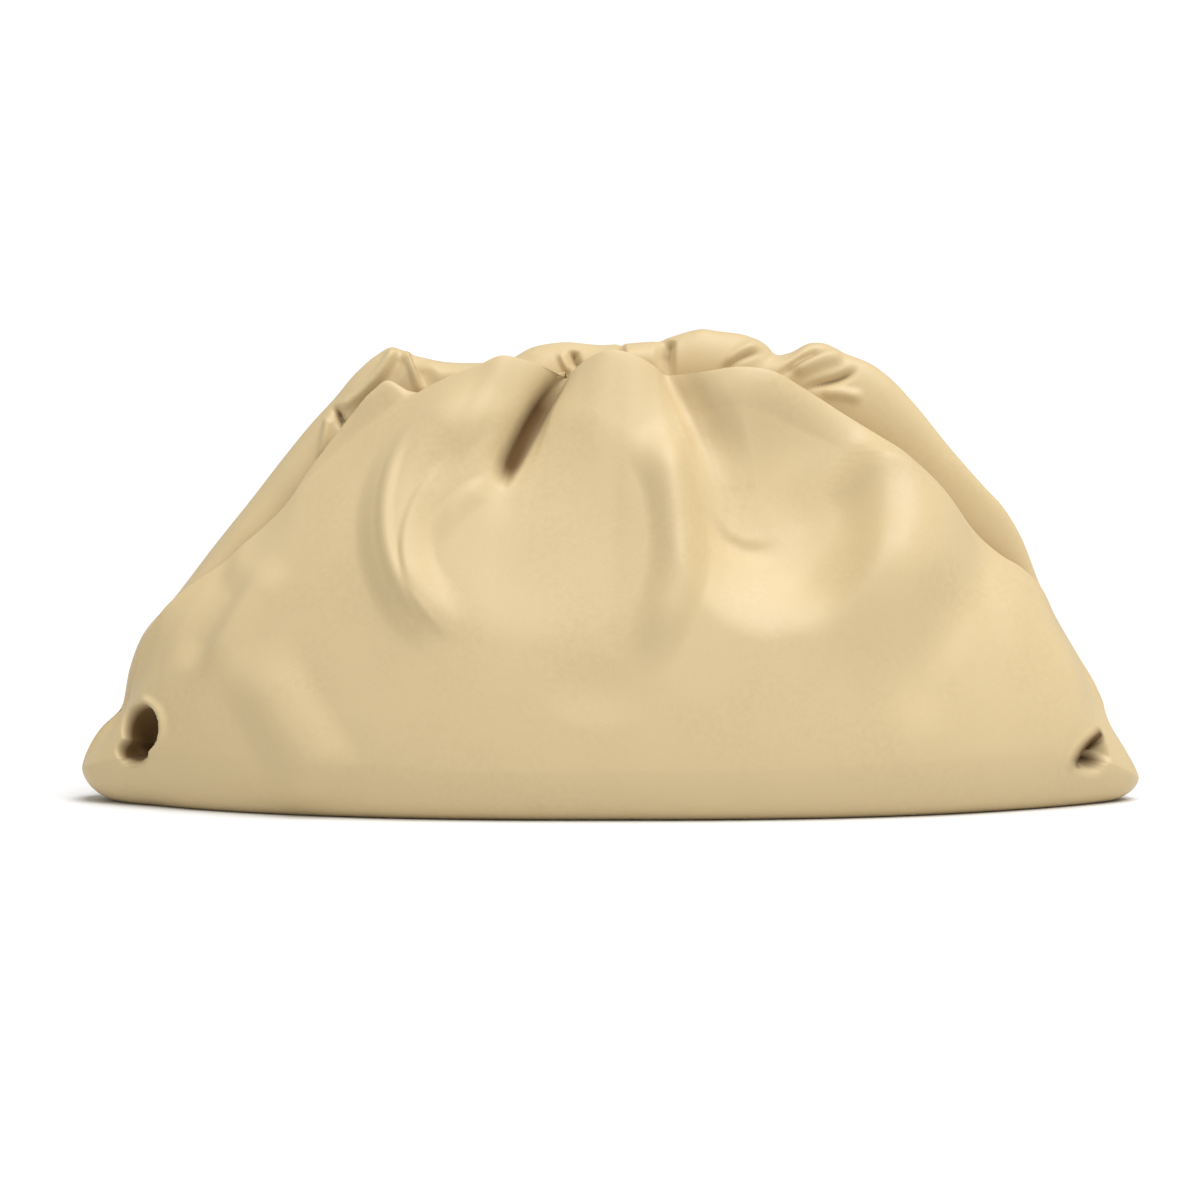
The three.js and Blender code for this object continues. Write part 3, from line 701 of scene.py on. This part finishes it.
def back_panel_grid():
    stations = column_stations(back_bands.columns, BACK_GATHERS)
    grid, _ = panel_surface(1, stations, back_bands)
    along = grid[:, :, 0]
    up = grid[:, :, 2] + view_slope * grid[:, :, 1]
    normals = grid_normals(grid, 1)
    lip_share = lip_fold_shares(back_bands)
    body_share = body_fold_shares(back_bands, back_crest_share)
    lip_rise, lip_crease_shade = fold_field(BACK_LIP_FOLDS, along, up)
    fold_rise, fold_crease_shade = fold_field(REAR_FOLDS, along, up)
    hollow_rise, hollow_crease_shade = hollow_field(REAR_HOLLOWS, along, up)
    rise = lip_rise * lip_share + (fold_rise + hollow_rise) * body_share
    rise *= end_fade(stations)
    crease_shade = lip_crease_shade * lip_share + (fold_crease_shade + hollow_crease_shade) * body_share
    grid = grid + normals * rise[:, :, None]
    close_on_seam(grid, 1)
    return grid, crease_shade


def inner_surface(outer, side, bands):
    """The surface one leather thickness inside the outer one, kept on its own side of the seam."""
    inner = outer - grid_normals(outer, side) * leather_mm
    first_base_row = outer.shape[1] - 1 - bands.base
    inner[:, first_base_row:, 2] = leather_mm
    own_side = side * outer[:, :, 1] > seam_gap_mm / 2
    kept_in = side * np.maximum(side * inner[:, :, 1], seam_gap_mm / 2)
    inner[:, :, 1] = np.where(own_side, kept_in, inner[:, :, 1])
    close_on_seam(inner, side)
    return inner


def picked(count):
    """Every inner_step-th place along an edge, with the last one."""
    places = list(range(0, count - 1, inner_step))
    return np.array(places + [count - 1])


def grid_quads(index):
    a, b = index[:-1, :-1], index[1:, :-1]
    c, d = index[1:, 1:], index[:-1, 1:]
    return np.stack([a, b, c, d], -1).reshape(-1, 4).tolist()


def edge_strip(fine, coarse, places):
    """Triangles between a fine edge and a coarse one that has every few of its places."""
    faces = []
    for k in range(len(places) - 1):
        first, last = places[k], places[k + 1]
        half = (first + last) // 2
        for i in range(first, last):
            apex = coarse[k] if i < half else coarse[k + 1]
            faces.append([fine[i], fine[i + 1], apex])
        faces.append([fine[half], coarse[k + 1], coarse[k]])
    return faces


def rim_faces(outer_index, inner_index, pick_columns, pick_rows):
    """The strips that join the outer surface to the inner one all round a panel."""
    columns, rows = outer_index.shape
    columns_back = columns - 1 - pick_columns[::-1]
    rows_back = rows - 1 - pick_rows[::-1]
    faces = edge_strip(outer_index[:, 0][::-1], inner_index[:, 0][::-1], columns_back)
    faces += edge_strip(outer_index[:, -1], inner_index[:, -1], pick_columns)
    faces += edge_strip(outer_index[0], inner_index[0], pick_rows)
    faces += edge_strip(outer_index[-1][::-1], inner_index[-1][::-1], rows_back)
    return [face[::-1] for face in faces]


def panel_mesh(name, outer, crease_shade, side, bands):
    """One closed leather panel with a fine outer surface and a coarser inner one."""
    columns, rows = outer.shape[:2]
    pick_columns, pick_rows = picked(columns), picked(rows)
    inner = inner_surface(outer, side, bands)[np.ix_(pick_columns, pick_rows)]
    inner_crease_shade = crease_shade[np.ix_(pick_columns, pick_rows)]
    outer_index = np.arange(columns * rows).reshape(columns, rows)
    inner_index = columns * rows + np.arange(inner_crease_shade.size).reshape(inner_crease_shade.shape)
    points = np.concatenate([outer.reshape(-1, 3), inner.reshape(-1, 3)]) * mm
    faces = grid_quads(outer_index) + [face[::-1] for face in grid_quads(inner_index)]
    faces += rim_faces(outer_index, inner_index, pick_columns, pick_rows)
    if side > 0:
        faces = [face[::-1] for face in faces]
    mesh = bpy.data.meshes.new(name)
    mesh.from_pydata(points.tolist(), [], faces)
    mesh.validate()
    mesh.polygons.foreach_set("use_smooth", [True] * len(mesh.polygons))
    # Each point carries the depth of its painted crease shade for the leather's colour
    depths = np.concatenate([crease_shade.reshape(-1), inner_crease_shade.reshape(-1)])
    shade = mesh.attributes.new("crease_shade", "FLOAT", "POINT")
    shade.data.foreach_set("value", depths.astype(np.float32))
    mesh.update()
    piece = bpy.data.objects.new(name, mesh)
    bpy.context.collection.objects.link(piece)
    return piece


def new_material(name):
    material = bpy.data.materials.new(name)
    material.use_nodes = True
    nodes = material.node_tree.nodes
    nodes.clear()
    output = nodes.new("ShaderNodeOutputMaterial")
    shader = nodes.new("ShaderNodeBsdfPrincipled")
    material.node_tree.links.new(shader.outputs["BSDF"], output.inputs["Surface"])
    return material, nodes, material.node_tree.links, shader


def noise_node(nodes, links, coordinates, size_mm, detail):
    noise = nodes.new("ShaderNodeTexNoise")
    noise.inputs["Scale"].default_value = 1 / (size_mm * mm)
    noise.inputs["Detail"].default_value = detail
    links.new(coordinates.outputs["Object"], noise.inputs["Vector"])
    return noise


def range_node(nodes, links, source, low, high, to_low, to_high):
    node = nodes.new("ShaderNodeMapRange")
    node.inputs["From Min"].default_value = low
    node.inputs["From Max"].default_value = high
    node.inputs["To Min"].default_value = to_low
    node.inputs["To Max"].default_value = to_high
    links.new(source, node.inputs["Value"])
    return node.outputs["Result"]


def blend_value(nodes, links, share, low, high):
    """A mix of a linked value and a fixed one, by a linked share."""
    node = nodes.new("ShaderNodeMix")
    node.data_type = "FLOAT"
    links.new(share, node.inputs[0])
    links.new(low, node.inputs[2])
    node.inputs[3].default_value = high
    return node.outputs[0]


def blend_colour(nodes, links, share, low, high):
    """A mix of two colours, each fixed or linked, by a linked share."""
    node = nodes.new("ShaderNodeMix")
    node.data_type = "RGBA"
    links.new(share, node.inputs["Factor"])
    for socket, colour in (("A", low), ("B", high)):
        target = [s for s in node.inputs if s.name == socket and s.type == "RGBA"][0]
        if isinstance(colour, tuple):
            target.default_value = (*colour, 1)
        else:
            links.new(colour, target)
    return [s for s in node.outputs if s.type == "RGBA"][0]


def bump_node(nodes, links, height, depth_mm, strength):
    node = nodes.new("ShaderNodeBump")
    node.inputs["Strength"].default_value = strength
    node.inputs["Distance"].default_value = depth_mm * mm
    links.new(height, node.inputs["Height"])
    return node


def tone(colour, factor, warmth=0.0):
    """The colour made darker or lighter, and warmer by taking out some blue and less green."""
    red, green, blue = colour
    return (red * factor, green * factor * (1 - warmth / 2), blue * factor * (1 - warmth))


def leather_material():
    """Smooth butter-coloured leather: fine pores, soft mottling, painted shade in the creases and a
    satin gloss.
    """
    material, nodes, links, shader = new_material("leather")
    coordinates = nodes.new("ShaderNodeTexCoord")
    mottle = noise_node(nodes, links, coordinates, mottle_mm, 3)
    speckle = noise_node(nodes, links, coordinates, speckle_mm, 4)
    grain = noise_node(nodes, links, coordinates, grain_mm, 3)
    pores = nodes.new("ShaderNodeTexVoronoi")
    pores.inputs["Scale"].default_value = 1 / (pore_mm * mm)
    links.new(coordinates.outputs["Object"], pores.inputs["Vector"])
    crease_shade = nodes.new("ShaderNodeAttribute")
    crease_shade.attribute_name = "crease_shade"
    mottle_share = range_node(nodes, links, mottle.outputs["Fac"], 0.3, 0.7, 0, 1)
    speckle_share = range_node(nodes, links, speckle.outputs["Fac"], 0.35, 0.65, 0, 1)
    crease_shade_share = range_node(nodes, links, crease_shade.outputs["Fac"],
                              crease_shade_from_mm, crease_shade_full_mm, 0, 1)
    base = blend_colour(nodes, links, mottle_share, tone(leather_colour, 0.97, 0.02),
                        tone(leather_colour, 1.03))
    light = blend_colour(nodes, links, speckle_share, base, tone(leather_colour, 1.02))
    # Painted shade: deep creases and tucks darken and warm the leather's colour
    colour = blend_colour(nodes, links, crease_shade_share, light,
                          tone(leather_colour, crease_shade_tone, crease_shade_warmth))
    links.new(colour, shader.inputs["Base Color"])
    rough = range_node(nodes, links, mottle.outputs["Fac"], 0.3, 0.7, gloss_rough, matt_rough)
    rough = blend_value(nodes, links, crease_shade_share, rough, crease_rough)
    links.new(rough, shader.inputs["Roughness"])
    shader.inputs["Specular IOR Level"].default_value = 0.36
    shader.inputs["Sheen Weight"].default_value = 0.05
    shader.inputs["Sheen Roughness"].default_value = 0.4
    pore_bump = bump_node(nodes, links, pores.outputs["Distance"], pore_depth_mm, 0.35)
    grain_bump = bump_node(nodes, links, grain.outputs["Fac"], grain_depth_mm, 0.3)
    links.new(pore_bump.outputs["Normal"], grain_bump.inputs["Normal"])
    links.new(grain_bump.outputs["Normal"], shader.inputs["Normal"])
    return material


def steel_material():
    """Brushed steel for the frame hidden inside the mouth."""
    material, nodes, links, shader = new_material("frame_steel")
    coordinates = nodes.new("ShaderNodeTexCoord")
    stretch = nodes.new("ShaderNodeMapping")
    stretch.inputs["Scale"].default_value = brush_scale
    links.new(coordinates.outputs["Object"], stretch.inputs["Vector"])
    brush = nodes.new("ShaderNodeTexNoise")
    brush.inputs["Scale"].default_value = 1
    brush.inputs["Detail"].default_value = 4
    links.new(stretch.outputs["Vector"], brush.inputs["Vector"])
    colour = blend_colour(nodes, links, brush.outputs["Fac"], steel_dark, steel_light)
    links.new(colour, shader.inputs["Base Color"])
    rough = range_node(nodes, links, brush.outputs["Fac"], 0, 1, steel_polished, steel_brushed)
    links.new(rough, shader.inputs["Roughness"])
    shader.inputs["Metallic"].default_value = 1
    return material


def floor_material():
    """A matt white studio floor, faintly clouded."""
    material, nodes, links, shader = new_material("floor")
    coordinates = nodes.new("ShaderNodeTexCoord")
    cloud = noise_node(nodes, links, coordinates, cloud_mm, 2)
    colour = blend_colour(nodes, links, cloud.outputs["Fac"], floor_dark, floor_light)
    links.new(colour, shader.inputs["Base Color"])
    shader.inputs["Roughness"].default_value = 0.8
    shader.inputs["Specular IOR Level"].default_value = 0.1
    return material


def make_floor():
    floor_up = cad_low.z - floor_drop_mm * mm
    corners = [(-1, -1), (1, -1), (1, 1), (-1, 1)]
    points = [(x * floor_half, y * floor_half, floor_up) for x, y in corners]
    mesh = bpy.data.meshes.new("floor")
    mesh.from_pydata(points, [], [(0, 1, 2, 3)])
    mesh.materials.append(floor_material())
    floor = bpy.data.objects.new("floor", mesh)
    bpy.context.collection.objects.link(floor)


def make_sun():
    sun = bpy.data.lights.new("key_light", "SUN")
    sun.energy = sun_strength
    sun.angle = math.radians(sun_spread)
    lamp = bpy.data.objects.new("key_light", sun)
    lamp.rotation_euler = (-Vector(sun_from)).to_track_quat("-Z", "Y").to_euler()
    bpy.context.collection.objects.link(lamp)


def make_studio():
    world = bpy.data.worlds.new("studio")
    world.use_nodes = True
    background = world.node_tree.nodes["Background"]
    background.inputs["Color"].default_value = (1, 1, 1, 1)
    background.inputs["Strength"].default_value = studio_strength
    bpy.context.scene.world = world
    bpy.context.scene.view_settings.view_transform = "Standard"


def make_camera():
    target = Vector(camera_target_mm) * mm
    elevation = math.radians(camera_elevation)
    offset = Vector((0, -math.cos(elevation), math.sin(elevation))) * camera_distance
    camera = bpy.data.cameras.new("camera")
    camera.sensor_width = sensor_mm
    camera.lens = sensor_mm * camera_distance / (picture_px * px * mm)
    viewer = bpy.data.objects.new("camera", camera)
    viewer.location = target + offset
    viewer.rotation_euler = (-offset).to_track_quat("-Z", "Y").to_euler()
    bpy.context.collection.objects.link(viewer)
    bpy.context.scene.camera = viewer


def add_panel(name, node, grid, crease_shade, side, bands, material):
    piece = panel_mesh(name, grid, crease_shade, side, bands)
    piece.data.materials.append(material)
    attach(piece, "root")
    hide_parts(node)


def finish_closure_frame():
    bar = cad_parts["closure_frame"]
    for slot in bar.material_slots:
        slot.material = steel_material()


leather = leather_material()
add_panel("front_leather", "front_panel", *front_panel_grid(), -1, front_bands, leather)
add_panel("back_leather", "back_panel", *back_panel_grid(), 1, back_bands, leather)
finish_closure_frame()
make_floor()
make_sun()
make_studio()
make_camera()
